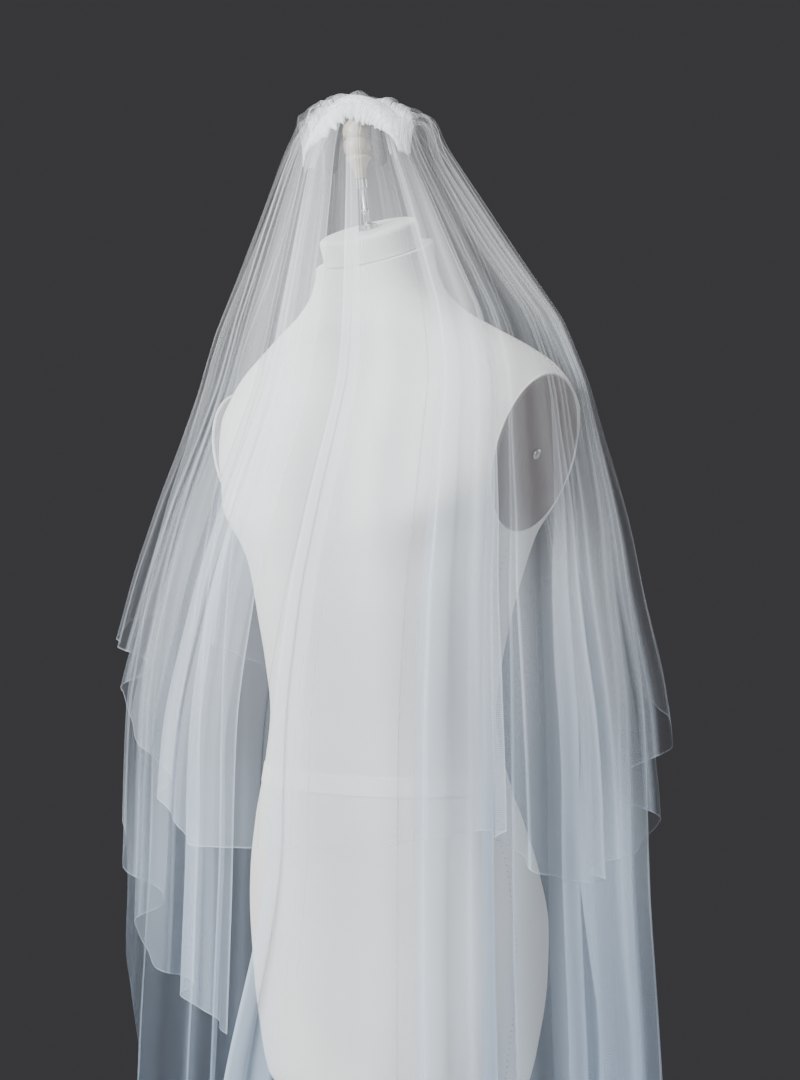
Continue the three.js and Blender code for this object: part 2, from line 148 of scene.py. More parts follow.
def ring_faces(rows, sides, closed=True):
    faces = []
    for row in range(rows - 1):
        for side in range(sides if closed else sides - 1):
            a = row * sides + side
            b = row * sides + (side + 1) % sides
            faces.append((a, b, b + sides, a + sides))
    return faces


def closed_band(rows, sides):
    """Faces of a band that goes round, whose last row of points is joined to its first."""
    faces = ring_faces(rows, sides)
    last = (rows - 1) * sides
    return faces + [(last + i, last + (i + 1) % sides, (i + 1) % sides, i) for i in range(sides)]


def apply_modifiers(obj):
    graph = bpy.context.evaluated_depsgraph_get()
    mesh = bpy.data.meshes.new_from_object(obj.evaluated_get(graph))
    obj.modifiers.clear()
    old = obj.data
    obj.data = mesh
    bpy.data.meshes.remove(old)


def rounded(profile, cut):
    """Corners of a turned profile cut back a little, so that its edges catch the light."""
    out = [profile[0]]
    for before, here, after in zip(profile, profile[1:], profile[2:]):
        here, before, after = Vector(here), Vector(before), Vector(after)
        for other in (before, after):
            span = (other - here).length
            out.append(tuple(here + (other - here) * min(cut, span * 0.3) / span))
    out.append(profile[-1])
    return out


def turned(name, profile, sides, material, place=None, squash=(1, 1), angle=35, cut=0.5):
    """A piece turned about +Z from radius and height pairs that start and end on the axis."""
    profile = rounded(profile, cut)
    points = [(0, 0, profile[0][1])]
    for radius, height in profile[1:-1]:
        for side in range(sides):
            turn = 2 * math.pi * side / sides
            points.append((radius * math.cos(turn) * squash[0], radius * math.sin(turn) * squash[1], height))
    points.append((0, 0, profile[-1][1]))
    rows = len(profile) - 2
    faces = [tuple(i + 1 for i in face) for face in ring_faces(rows, sides)]
    last = len(points) - 1
    for side in range(sides):
        after = (side + 1) % sides
        faces.append((0, 1 + after, 1 + side))
        faces.append((last, last - sides + side, last - sides + after))
    if place is not None:
        points = [place @ Vector(p) for p in points]
    return new_object(name, mesh_from(name, points, faces), material, angle)


def done(obj, node):
    """A finished piece: it rides on the one body and stands for its node, whose imported part it hides."""
    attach(obj, "root")
    if node:
        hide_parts(node)
    return obj


# Materials

def material(name, color, roughness, metallic=0.0):
    made = bpy.data.materials.new(name)
    made.use_nodes = True
    shader = made.node_tree.nodes["Principled BSDF"]
    shader.inputs["Base Color"].default_value = (*color, 1)
    shader.inputs["Roughness"].default_value = roughness
    shader.inputs["Metallic"].default_value = metallic
    return made, made.node_tree, shader


def node(tree, kind, **settings):
    made = tree.nodes.new(kind)
    for key, value in settings.items():
        setattr(made, key, value)
    return made


def math_node(tree, operation, *sources):
    made = node(tree, "ShaderNodeMath", operation=operation)
    for socket, source in zip(made.inputs, sources):
        if isinstance(source, (int, float)):
            socket.default_value = source
        else:
            tree.links.new(source, socket)
    return made.outputs[0]


def color_by(tree, shader, factor, low, high):
    """The base colour runs between two colours with factor."""
    ramp = node(tree, "ShaderNodeValToRGB")
    ramp.color_ramp.elements[0].color = (*low, 1)
    ramp.color_ramp.elements[1].color = (*high, 1)
    tree.links.new(factor, ramp.inputs["Fac"])
    tree.links.new(ramp.outputs["Color"], shader.inputs["Base Color"])


def add_bump(tree, shader, height, strength, distance):
    bump = node(tree, "ShaderNodeBump")
    bump.inputs["Strength"].default_value = strength
    bump.inputs["Distance"].default_value = distance
    tree.links.new(height, bump.inputs["Height"])
    tree.links.new(bump.outputs["Normal"], shader.inputs["Normal"])


def noise_node(tree, scale, detail=3.0, stretch=None):
    texture = node(tree, "ShaderNodeTexNoise")
    texture.inputs["Scale"].default_value = scale
    texture.inputs["Detail"].default_value = detail
    vector = node(tree, "ShaderNodeTexCoord").outputs["Object"]
    if stretch:
        mapping = node(tree, "ShaderNodeMapping")
        mapping.inputs["Scale"].default_value = stretch
        tree.links.new(vector, mapping.inputs["Vector"])
        vector = mapping.outputs["Vector"]
    tree.links.new(vector, texture.inputs["Vector"])
    return texture.outputs["Fac"]


NET_CELL = 0.0017
TULLE_WHITE = (0.86, 0.9, 0.93)
# The darker blue-grey that the net is painted towards its foot: painted shade, for the light falling off
# there.
TULLE_PAINTED_SHADE = (0.5, 0.67, 0.9)


def tulle_material(name, cover, edge_cover):
    """Sheer net: its threads cover a small share of it square on, and more the flatter it is seen."""
    made, tree, shader = material(name, TULLE_WHITE, 0.62)
    shader.inputs["Sheen Weight"].default_value = 0.15
    shader.inputs["Sheen Roughness"].default_value = 0.5
    coords = node(tree, "ShaderNodeUVMap")
    net = node(tree, "ShaderNodeTexVoronoi", feature="DISTANCE_TO_EDGE", voronoi_dimensions="2D")
    net.inputs["Scale"].default_value = 1 / NET_CELL
    net.inputs["Randomness"].default_value = 0.15
    tree.links.new(coords.outputs["UV"], net.inputs["Vector"])
    thread = node(tree, "ShaderNodeMapRange", interpolation_type="SMOOTHSTEP")
    thread.inputs["From Min"].default_value = 0.02
    thread.inputs["From Max"].default_value = 0.32
    thread.inputs["To Min"].default_value = 1.5
    thread.inputs["To Max"].default_value = 0.75
    tree.links.new(net.outputs["Distance"], thread.inputs["Value"])
    facing = node(tree, "ShaderNodeLayerWeight")
    facing.inputs["Blend"].default_value = 0.5
    steep = math_node(tree, "POWER", facing.outputs["Facing"], 8.0)
    cloudy = noise_node(tree, 9.0, 2.0)
    uneven = math_node(tree, "MULTIPLY_ADD", cloudy, cover * 0.5, cover * 0.75)
    base = math_node(tree, "MULTIPLY", thread.outputs["Result"], uneven)
    cover_all = math_node(tree, "MULTIPLY_ADD", steep, edge_cover, base)
    thicker = node(tree, "ShaderNodeAttribute", attribute_name="dense")
    alpha = math_node(tree, "ADD", cover_all, thicker.outputs["Fac"])
    alpha = math_node(tree, "MINIMUM", alpha, 0.97)
    tree.links.new(alpha, shader.inputs["Alpha"])
    # Painted shade: the net's colour runs from a darker blue-grey at 0.6 m up to white at 1.45 m, for the
    # light falling off towards the floor.
    low = node(tree, "ShaderNodeSeparateXYZ")
    place = node(tree, "ShaderNodeTexCoord")
    tree.links.new(place.outputs["Object"], low.inputs["Vector"])
    height = node(tree, "ShaderNodeMapRange")
    height.inputs["From Min"].default_value = 0.6
    height.inputs["From Max"].default_value = 1.45
    tree.links.new(low.outputs["Z"], height.inputs["Value"])
    color_by(tree, shader, height.outputs["Result"], TULLE_PAINTED_SHADE, TULLE_WHITE)
    add_bump(tree, shader, net.outputs["Distance"], 0.25, 0.0003)
    made.surface_render_method = "DITHERED"
    return made


def gather_material():
    made, tree, shader = material("gathered_tulle", (0.9, 0.93, 0.95), 0.7)
    shader.inputs["Sheen Weight"].default_value = 0.4
    grain = noise_node(tree, 900, 2.0, (1, 0.25, 1))
    color_by(tree, shader, grain, (0.84, 0.87, 0.89), (0.97, 0.98, 0.99))
    add_bump(tree, shader, grain, 0.5, 0.0006)
    return made


def linen_material():
    made, tree, shader = material("form_linen", (0.74, 0.74, 0.73), 0.88)
    shader.inputs["Sheen Weight"].default_value = 0.15
    waves = []
    coords = node(tree, "ShaderNodeTexCoord")
    for direction in ("Z", "X"):
        wave = node(tree, "ShaderNodeTexWave", wave_type="BANDS", bands_direction=direction)
        wave.inputs["Scale"].default_value = 230
        wave.inputs["Distortion"].default_value = 1.2
        wave.inputs["Detail"].default_value = 2.0
        tree.links.new(coords.outputs["Object"], wave.inputs["Vector"])
        waves.append(wave.outputs["Fac"])
    weave = math_node(tree, "MULTIPLY", *waves)
    slub = noise_node(tree, 55, 4.0, (1, 1, 6))
    shade = noise_node(tree, 6, 3.0)
    mixed = math_node(tree, "MULTIPLY_ADD", slub, 0.4, math_node(tree, "MULTIPLY", shade, 0.6))
    color_by(tree, shader, mixed, (0.74, 0.74, 0.73), (0.86, 0.86, 0.855))
    add_bump(tree, shader, weave, 0.28, 0.0004)
    return made


def trim_material(name, dark, light):
    made, tree, shader = material(name, light, 0.7)
    grain = noise_node(tree, 700, 2.0, (1, 1, 8))
    color_by(tree, shader, grain, dark, light)
    add_bump(tree, shader, grain, 0.4, 0.0003)
    return made


def plate_material():
    made, tree, shader = material("arm_plate", (0.21, 0.175, 0.175), 0.5)
    grain = noise_node(tree, 60, 6.0, (1, 8, 0.7))
    fine = noise_node(tree, 420, 3.0, (1, 5, 0.6))
    both = math_node(tree, "MULTIPLY_ADD", grain, 0.7, math_node(tree, "MULTIPLY", fine, 0.3))
    color_by(tree, shader, both, (0.15, 0.12, 0.125), (0.29, 0.25, 0.25))
    tree.links.new(math_node(tree, "MULTIPLY_ADD", grain, 0.25, 0.38), shader.inputs["Roughness"])
    add_bump(tree, shader, fine, 0.15, 0.0004)
    return made


def metal_material(name, color, roughness):
    made, tree, shader = material(name, color, roughness, 1.0)
    marks = noise_node(tree, 160, 4.0, (1, 1, 0.08))
    tree.links.new(math_node(tree, "MULTIPLY_ADD", marks, 0.22, roughness - 0.1), shader.inputs["Roughness"])
    add_bump(tree, shader, marks, 0.06, 0.0003)
    return made


def knob_material():
    made, tree, shader = material("finial_knob", (0.58, 0.52, 0.43), 0.4)
    shader.inputs["Coat Weight"].default_value = 0.4
    shader.inputs["Coat Roughness"].default_value = 0.25
    swirl = noise_node(tree, 45, 5.0, (1, 1, 2.5))
    color_by(tree, shader, swirl, (0.3, 0.23, 0.15), (0.66, 0.59, 0.48))
    add_bump(tree, shader, swirl, 0.12, 0.0005)
    return made


def mesh_material():
    made, tree, shader = material("black_mesh", (0.016, 0.016, 0.018), 0.8)
    coords = node(tree, "ShaderNodeTexCoord")
    net = node(tree, "ShaderNodeTexVoronoi", feature="DISTANCE_TO_EDGE")
    net.inputs["Scale"].default_value = 420
    tree.links.new(coords.outputs["Object"], net.inputs["Vector"])
    hole = math_node(tree, "MULTIPLY", net.outputs["Distance"], 3.0)
    color_by(tree, shader, hole, (0.05, 0.05, 0.055), (0.006, 0.006, 0.007))
    add_bump(tree, shader, net.outputs["Distance"], -0.8, 0.0008)
    return made


def comb_material():
    made, tree, shader = material("clear_comb", (0.78, 0.8, 0.81), 0.22)
    shader.inputs["Alpha"].default_value = 0.6
    cloud = noise_node(tree, 90, 3.0)
    tree.links.new(math_node(tree, "MULTIPLY_ADD", cloud, 0.15, 0.15), shader.inputs["Roughness"])
    return made


def iron_material():
    made, tree, shader = material("painted_iron", (0.05, 0.052, 0.056), 0.45)
    grain = noise_node(tree, 380, 3.0)
    wear = noise_node(tree, 12, 5.0)
    color_by(tree, shader, wear, (0.04, 0.042, 0.046), (0.075, 0.077, 0.082))
    tree.links.new(math_node(tree, "MULTIPLY_ADD", wear, 0.3, 0.32), shader.inputs["Roughness"])
    add_bump(tree, shader, grain, 0.3, 0.0004)
    return made


def floor_material():
    made, tree, shader = material("pale_floor", (0.62, 0.62, 0.61), 0.85)
    grain = noise_node(tree, 3, 5.0)
    color_by(tree, shader, grain, (0.57, 0.57, 0.56), (0.66, 0.66, 0.65))
    return made


make_camera()

# The form: torso sections in millimetres, as height, half width, depth in front and behind, and the middle.
torso = Table("z width front back middle", [
    (675, 112, 74, 92, 8), (692, 131, 85, 112, 8), (733, 141, 90, 124, 8), (790, 149, 94, 132, 8),
    (840, 151, 97, 133, 7), (890, 146, 100, 122, 5), (935, 136, 100, 106, 3), (990, 120, 96, 88, 0),
    (1040, 113, 94, 78, 0), (1085, 118, 98, 84, 0), (1130, 127, 103, 93, 0), (1180, 141, 106, 102, 2),
    (1207, 152, 107, 106, 3), (1235, 173, 106, 109, 5), (1277, 196, 103, 110, 7), (1315, 201, 94, 103, 10),
    (1340, 192, 83, 89, 11), (1358, 177, 78, 84, 10), (1376, 150, 73, 80, 6), (1394, 116, 70, 76, 0),
    (1412, 84, 63, 68, -5), (1432, 63, 57, 60, -9), (1455, 55, 54, 54, -13), (1530, 53, 53, 53, -22),
])
FORM_BOTTOM, FORM_TOP = torso.keys[0], torso.keys[-1]
FORM_SIDES, FORM_ROWS = 144, 150
SECTION_POWER = 2.2
BUST = {"azimuth": 36, "z": 1228, "rise": 17, "across": 17, "down": 36}
ARM_PLANE = {"x": 170, "y": 4, "z": 1277, "lean": 16}
ARM_PLATE = {"half_width": 57, "half_height": 71, "thickness": 3}
NECK_CUT = {"y": -16, "z": 1466, "tilt": 21}
NECK_CAP = {"radius": 47, "height": 25}
FINIAL_LEAN = 11
STEM_LENGTH = 46
FINIAL_LENGTH = 56
GAP = 0.3
SIDES = (("left", 1), ("right", -1))
# The seams: azimuth, the heights where they start and end, how far apart their stitches are, and how long.
SEAMS = {"side": (88, 700, 1196, 5.5, 4.6), "shoulder": (95, 1350, 1444, 3.2, 3.6)}
CENTRE_SEAM = {
    "low": 700, "high": 1415, "pitch": 7.0, "length": 1.6, "slant": 0.2, "thick": 0.3, "wander": 0.1,
}
WAIST_TAPE = {"low": 972, "high": 990, "under": 0.1, "over": 0.7}
PLATE_SIDES = 96
BASE_TOP = 62


def torso_point(azimuth, z, out=0.0):
    """A point on the form's skin, moved out from it when out is more than nothing."""
    width, middle = torso.at("width", z), torso.at("middle", z)
    sin, cos = math.sin(azimuth * RAD), math.cos(azimuth * RAD)
    depth = torso.at("front" if cos > 0 else "back", z)
    power = 2 / SECTION_POWER
    x = width * math.copysign(abs(sin) ** power, sin)
    y = -depth * math.copysign(abs(cos) ** power, cos)
    across = (abs(degrees_between(azimuth, 0)) - BUST["azimuth"]) / BUST["across"]
    down = (z - BUST["z"]) / BUST["down"]
    size = math.hypot(x, y)
    stretch = 1 + (BUST["rise"] * math.exp(-across ** 2 - down ** 2) + out) / size
    return Vector((x * stretch, middle + y * stretch, z))


def placed(x, y, z, tilt_x=0.0, tilt_y=0.0):
    return Matrix.Translation((x, y, z)) @ Euler((tilt_x * RAD, tilt_y * RAD, 0)).to_matrix().to_4x4()


def arm_place(side):
    return placed(side * ARM_PLANE["x"], ARM_PLANE["y"], ARM_PLANE["z"], 0, side * (90 + ARM_PLANE["lean"]))


neck_place = placed(0, NECK_CUT["y"], NECK_CUT["z"], NECK_CUT["tilt"])
cap_top = neck_place @ Vector((0, 0, NECK_CAP["height"]))
finial_place = placed(0, cap_top.y, cap_top.z, FINIAL_LEAN)
finial_top = finial_place @ Vector((0, 0, STEM_LENGTH + FINIAL_LENGTH))


def cut_off(obj, place):
    """Takes away what lies beyond the plane of place, with a cube that stands on that plane."""
    side = 0.4
    block = bmesh.new()
    bmesh.ops.create_cube(block, size=side)
    on_plane = place_metres(place) @ Matrix.Translation((0, 0, side / 2))
    bmesh.ops.transform(block, matrix=on_plane, verts=block.verts)
    mesh = bpy.data.meshes.new("cutter")
    block.to_mesh(mesh)
    block.free()
    cutter = bpy.data.objects.new("cutter", mesh)
    bpy.context.scene.collection.objects.link(cutter)
    cut = obj.modifiers.new("cut", "BOOLEAN")
    cut.operation = "DIFFERENCE"
    cut.solver = "EXACT"
    cut.object = cutter
    apply_modifiers(obj)
    bpy.data.objects.remove(cutter)
    bpy.data.meshes.remove(mesh)


def place_metres(place):
    moved = place.copy()
    moved.translation = place.translation * MM
    return moved


def make_torso(cloth):
    sides, rows = FORM_SIDES, FORM_ROWS
    heights = [mix(FORM_BOTTOM, FORM_TOP, row / (rows - 1)) for row in range(rows)]
    points = [torso_point(360 * side / sides - 180, z) for z in heights for side in range(sides)]
    faces = ring_faces(rows, sides)
    faces.append(tuple(reversed(range(sides))))
    faces.append(tuple(range((rows - 1) * sides, rows * sides)))
    obj = new_object("torso_skin", mesh_from("torso_skin", points, faces), cloth, 30)
    for place in (arm_place(1), arm_place(-1), neck_place):
        cut_off(obj, place)
    obj.data.shade_smooth()
    obj.data.set_sharp_from_angle(angle=30 * RAD)
    return done(obj, "form_torso")


def make_stitches(name, path, thread, length, slant=0.35, thick=0.55):
    """Small slanted stitches along a path of points and outward directions."""
    points, faces = [], []
    for (here, out), (after, _) in zip(path, path[1:]):
        along = (after - here).normalized()
        across = (out.cross(along)).normalized()
        reach = (across + along * slant).normalized() * length / 2
        side = out.cross(reach).normalized() * thick
        start = len(points)
        points += [here - reach, here + side, here + out * thick]
        points += [here - side, here - out * thick, here + reach]
        for a, b in ((1, 2), (2, 3), (3, 4), (4, 1)):
            faces.append((start, start + b, start + a))
            faces.append((start + 5, start + a, start + b))
    return done(new_object(name, mesh_from(name, points, faces), thread), None)


def seam_path(azimuth, low, high, pitch, wander=0.6):
    """Points up the form's skin along a seam, and the direction out from it at each."""
    path = []
    count = int((high - low) / pitch)
    for step in range(count + 1):
        z = mix(low, high, step / count)
        turn = azimuth + wander * math.sin(step * 0.55) * 0.5
        here = torso_point(turn, z, 0.15)
        out = (torso_point(turn, z, 6) - here).normalized()
        path.append((here, out))
    return path


def make_form_trim(thread, tape):
    for name, side in SIDES:
        for kind, (azimuth, low, high, pitch, length) in SEAMS.items():
            path = seam_path(side * azimuth, low, high, pitch)
            make_stitches(f"{kind}_seam_{name}", path, thread, length)
    seam = CENTRE_SEAM
    for azimuth in (0, 180):
        path = seam_path(azimuth, seam["low"], seam["high"], seam["pitch"], seam["wander"])
        make_stitches(f"centre_seam_{azimuth}", path, thread, seam["length"], seam["slant"], seam["thick"])
    low, high, under, over = WAIST_TAPE.values()
    points = []
    for z, out in ((low, under), (low, over), (high, over), (high, under)):
        points += [torso_point(360 * side / FORM_SIDES, z, out) for side in range(FORM_SIDES)]
    faces = closed_band(4, FORM_SIDES)
    done(new_object("waist_tape", mesh_from("waist_tape", points, faces), tape, 40), None)


def make_form_parts(linen, plate, steel):
    half_width, half_height = ARM_PLATE["half_width"], ARM_PLATE["half_height"]
    thick = ARM_PLATE["thickness"]
    for name, side in SIDES:
        place = arm_place(side)
        face = [(0, GAP), (1, GAP), (1, thick - 0.6), (0.985, thick), (0, thick)]
        squash = (half_height, half_width)
        oval = turned(f"plate_{name}", face, PLATE_SIDES, plate, place, squash, 50, 0.002)
        done(oval, f"arm_plate_{name}")
        foot = thick + GAP
        head = [(0, foot), (5, foot), (4.4, foot + 1.6), (2, foot + 1.6), (1.4, foot + 0.6), (0, foot + 0.6)]
        screw = turned(f"screw_{name}", head, 32, steel, place, cut=0.15)
        done(screw, f"plate_screw_{name}")
        rim = [(1.0, 0.15), (1.035, 0.15), (1.035, 1.5), (1.02, 1.9), (1.006, 1.5)]
        points = []
        for radius, height in rim:
            for step in range(PLATE_SIDES):
                turn = 2 * math.pi * step / PLATE_SIDES
                points.append(place @ Vector((radius * half_height * math.cos(turn),
                                              radius * half_width * math.sin(turn), height)))
        piping = mesh_from(f"plate_piping_{name}", points, closed_band(len(rim), PLATE_SIDES))
        done(new_object(f"plate_piping_{name}", piping, linen, 60), None)
    radius, height = NECK_CAP["radius"], NECK_CAP["height"]
    block = [(0, GAP), (radius, GAP), (radius, height - 3), (radius - 3, height), (0, height)]
    done(turned("cap", block, 96, linen, neck_place, cut=1.2), "neck_cap")


def make_finial(knob, steel):
    foot = STEM_LENGTH + GAP
    rise = [(0, 0), (5, 0), (5.6, 8), (8.5, 14), (11.6, 17.5), (12.4, 20), (9.2, 22.5), (12.6, 25), (13, 30),
            (12.4, 35), (9.4, 37.5), (12.2, 40), (12, 45), (10, 50.5), (6, 54.2), (0, FINIAL_LENGTH - GAP)]
    profile = [(radius, foot + height) for radius, height in rise]
    done(turned("knob", profile, 64, knob, finial_place, angle=60, cut=0.9), "finial")
    stem = [(0, -1), (9, -1), (9, 4), (2.6, 6), (2.6, 14), (3.6, 15), (3.6, 18), (2.6, 19), (2.6, 38),
            (5, 38), (5, 46), (0, 46)]
    done(turned("stem", stem, 32, steel, finial_place, cut=0.3), "finial_stem")


def make_stand(iron, steel):
    base = [(0, 0), (205, 0), (205, 8), (200, 12), (120, 25), (40, 34), (34, 40), (30, BASE_TOP),
            (0, BASE_TOP)]
    done(turned("base_disc", base, 128, iron, cut=2.5), "stand_base")
    foot, top = BASE_TOP + GAP, FORM_BOTTOM - GAP
    pole = [(0, foot), (16, foot), (16, 380), (21, 384), (21, 424), (14, 428), (14, top - 8), (28, top - 6),
            (28, top), (0, top)]
    done(turned("pole", pole, 64, steel, cut=1.0), "stand_pole")


# The arch that carries the comb, the band of gathers on it, and the crown of the veil
BAND_MIDDLE_Y = -42
REST = {"half_width": 30, "rise": 46, "tube": 6.5}
rest_top = finial_top.z + GAP + REST["tube"]
rest_foot = rest_top - REST["rise"]
BAND = {"half_length": 59, "rise": 56, "power": 1.5, "thick": 3.3, "ruches": 110}
band_end = rest_top + REST["tube"] * math.cos(math.pi / 10) + GAP + BAND["thick"] - BAND["rise"]


def make_comb_rest(net):
    steps, sides, points = 72, 24, []
    for step in range(steps + 1):
        turn = mix(-100, 100, step / steps) * RAD
        height = rest_foot + REST["rise"] * math.cos(turn)
        middle = Vector((REST["half_width"] * math.sin(turn), BAND_MIDDLE_Y, height))
        away = Vector((math.sin(turn) * REST["rise"], 0, math.cos(turn) * REST["half_width"])).normalized()
        pinch = 1 - 0.5 * smooth((abs(turn) / RAD - 92) / 8) ** 2
        for side in range(sides):
            angle = 2 * math.pi * side / sides
            ripple = 1 + 0.03 * noise.noise(Vector((step * 0.4, math.cos(angle) * 2, math.sin(angle) * 2)))
            radius = REST["tube"] * pinch * ripple - 0.1
            points.append(middle + away * radius * math.cos(angle) + Vector((0, radius * math.sin(angle), 0)))
    faces = ring_faces(steps + 1, sides)
    faces.append(tuple(reversed(range(sides))))
    faces.append(tuple(range(steps * sides, (steps + 1) * sides)))
    mesh = mesh_from("rest_arch", points, faces)
    done(new_object("rest_arch", mesh, net, 60), "comb_rest")


def band_height(turn):
    return band_end + BAND["rise"] * abs(math.cos(turn)) ** BAND["power"]


# The band's section: how far behind its middle line and how far out from the arch each point lies. The
# gathers' heads are folded down over the arch's front.
BAND_SECTION = [
    (12.5, 0.0), (11.0, 2.2), (7.0, 3.2), (1.0, 3.4), (-5.0, 3.3), (-10.0, 2.6), (-12.6, 0.2), (-13.2, -4.0),
    (-13.0, -9.0), (-12.2, -14.0), (-11.0, -18.0), (-9.6, -19.0), (-8.8, -16.0), (-8.6, -10.0), (-8.4, -5.0),
    (-6.5, -3.2), (0.0, -3.3), (7.0, -3.0),
]


def make_band(gathers):
    """The bunched heads of both tiers: a pad with a ridge for each gather, uneven in height."""
    per_ruche, sides, points = 5, len(BAND_SECTION), []
    steps = BAND["ruches"] * per_ruche
    tall = [rng.uniform(0.35, 1.3) for _ in range(BAND["ruches"] + 2)]
    for step in range(steps + 1):
        turn = mix(-86, 86, step / steps) * RAD
        ruche, phase = divmod(step, per_ruche)
        ridge = math.sin(math.pi * phase / per_ruche) ** 0.7 * tall[ruche]
        slope = (band_height(turn + 0.01) - band_height(turn - 0.01)) / 0.02
        away = Vector((-slope, 0, BAND["half_length"] * math.cos(turn))).normalized()
        middle = Vector((BAND["half_length"] * math.sin(turn), BAND_MIDDLE_Y, band_height(turn)))
        share = math.cos(turn) ** 0.5
        shrink = mix(0.45, 1.0, share)
        flatten = mix(0.85, 1.0, share)
        taper = mix(0.05, 1.0, smooth((76 - abs(turn) / RAD) / 52))
        puff = 1.0 + 0.075 * (ridge - 0.5)
        for side, (behind, out) in enumerate(BAND_SECTION):
            twist = noise.noise(Vector((step * 0.04, side * 0.3, 3.0)))
            fringe = (0.85 + 0.3 * twist + 0.22 * tall[ruche]) * taper
            length = fringe if out < -3 else 1.0
            points.append(middle + away * (out * length * flatten + (ridge - 0.4) * 0.6)
                          + Vector((twist * 0.6, behind * puff * shrink, 0)))
    faces = ring_faces(steps + 1, sides)
    faces.append(tuple(reversed(range(sides))))
    faces.append(tuple(range(steps * sides, (steps + 1) * sides)))
    done(new_object("gathers", mesh_from("gathers", points, faces), gathers, 80), "gather_band")


# Crown sections from the stitching out to the shoulders: heights at the front and back, and at the band's
# two ends, with how far the lower tier lies inside and under the upper one.
crown = Table("level width depth middle crown side pleat inset drop", [
    (0, 60.2, 13.4, -42, band_end + BAND["rise"], band_end, 0, -3.2, 3.4),
    (1, 65, 20, -40, 1612, 1584, 0.02, -2, 7),
    (2, 72, 36, -34, 1604, 1586, 0.06, 1, 7),
    (3, 88, 60, -27, 1574, 1548, 0.14, 4, 4),
    (4, 127, 90, -14, 1509, 1480, 0.26, 4, 3),
    (5, 180, 127, 0, 1408, 1404, 0.4, 4, 0),
])
upper_sections = Table("z width depth middle", [
    (1408, 180, 127, 0), (1374, 194, 137, 2), (1336, 206, 152, 5), (1299, 214, 170, 5), (1223, 233, 206, 4),
    (1148, 248, 233, 0), (1035, 268, 266, 0), (900, 278, 278, 0),
])
lower_sections = Table("z width depth middle", [
    (1408, 176, 123, 0), (1374, 190, 133, 2), (1336, 202, 147, 5), (1299, 209, 163, 5), (1223, 224, 195, 4),
    (1148, 234, 217, 0), (1035, 245, 240, 0), (900, 248, 246, 0), (700, 260, 258, 0), (520, 270, 268, 0),
])

# The folds, a row for each ridge: azimuth, depth at the hem, and the height of each tier's hem there. deep is
# the share of that depth which the valley after the ridge has, and lap how far its two flanks lean over it.
# The covers are how much denser than one flat layer each tier's net stands in the cone round the ridge, or
# how much thinner where they are less than nothing.
FOLDS = Table("azimuth depth upper lower deep lap upper_cover lower_cover", [
    (-170, 16, 1190, 530, 0.5, 0.8, 0.05, 0.1), (-158, 22, 1100, 528, 1.5, 1.7, 0.07, 0.12),
    (-143, 26, 1052, 524, 0.4, 0.6, 0.04, 0.1), (-128, 22, 1040, 530, 1.4, 1.8, 0.07, 0.14),
    (-114, 26, 1062, 532, 0.4, 0.6, 0.03, 0.12), (-99, 24, 1090, 540, 0.8, 1.2, 0.02, 0.16),
    (-84, 20, 1112, 566, 0.15, 0.2, -0.015, 0.13), (-72, 22, 1128, 640, 0.35, 0.6, -0.015, 0.16),
    (-60, 24, 1124, 800, 0.08, 0.1, -0.01, 0.13), (-48, 26, 1110, 940, 0.15, 0.2, -0.01, 0.08),
    (-34, 24, 1104, 905, 1.4, 2, -0.01, 0.08), (-22, 22, 1068, 860, 0.12, 0.2, 0, 0.06),
    (-12, 20, 1026, 832, 1.35, 1.9, 0.1, 0.14), (-3, 18, 980, 812, 0.5, 0.9, 0.24, 0.24),
    (5, 18, 948, 790, 0.3, 0.5, 0.17, 0.14), (15, 18, 950, 680, 0.8, 1.1, 0.08, 0.4),
    (27, 14, 954, 650, 0.25, 0.4, 0.05, 0.07), (40, 14, 955, 620, 0.7, 1.3, 0.05, 0.09),
    (50, 22, 962, 590, 0.3, 0.5, 0.12, 0.34), (59, 26, 966, 560, 1.5, 1.9, 0.22, 0.34),
    (70, 26, 926, 540, 0.3, 0.4, 0.08, 0.2), (81, 24, 915, 532, 1.2, 1.7, 0.2, 0.34),
    (91, 24, 934, 528, 0.15, 0.2, 0.14, 0.28), (101, 26, 954, 526, 2.1, 2.1, -0.01, 0.3),
    (115, 24, 1014, 526, 0.08, 0.1, -0.015, 0.16), (129, 26, 1034, 528, 0.12, 0.1, -0.015, 0.12),
    (144, 28, 1046, 530, 0.25, 0.5, -0.01, 0.1), (158, 22, 1104, 530, 0.8, 1.2, -0.01, 0.1),
    (170, 16, 1196, 530, 0.5, 0.6, 0.02, 0.1),
])
OPENING_RIGHT, OPENING_LEFT = 5, 15
SHOULDER = {"z": 1335, "share": 0.78, "across": 0.5, "down": 80}
SMOOTH_FRONT = {"azimuth": 27, "across": 34, "share": 0.75, "from_z": 700, "rise": 300}
# The pleats are part open where the crown ends, and open out from there as the cloth falls.
PLEATS = {"start": 0.4, "from_z": 1408, "fall": 330}
# Small gathers below the stitching, fine and coarse ones: how far in they go, and how many degrees each
# takes.
GATHERS = {"level": 1.8, "across": 1.6, "fine": (0.3, 3), "coarse": (1.1, 8.1)}
PUFFS = {"level": 1.9, "across": 1.1, "out": 8.5, "up": 7.5, "sag": 4.0}
DRIFT, SLACK = 0.22, 2.2
# How many degrees the lower tier's front edges are turned, over how many folds, and how the left one swings
# back as it falls.
FRONT_EDGES = {"reach": 1.5, "left_top": 2.0, "left_foot": -8.0, "from_z": 960, "fall": 280, "right": 4.0}

# How much denser than one flat layer the net stands where it is sewn, below that, in a crease and along its
# edges.
COVER = {"stitching": 0.6, "haze": 0.015, "crease": 0.2, "folded_edge": 0.34, "cut_edge": 0.26, "most": 0.95}
# How many levels down each of these fades.
FADE = {"stitching": 0.85, "haze": 2.2, "crease": 4.2}
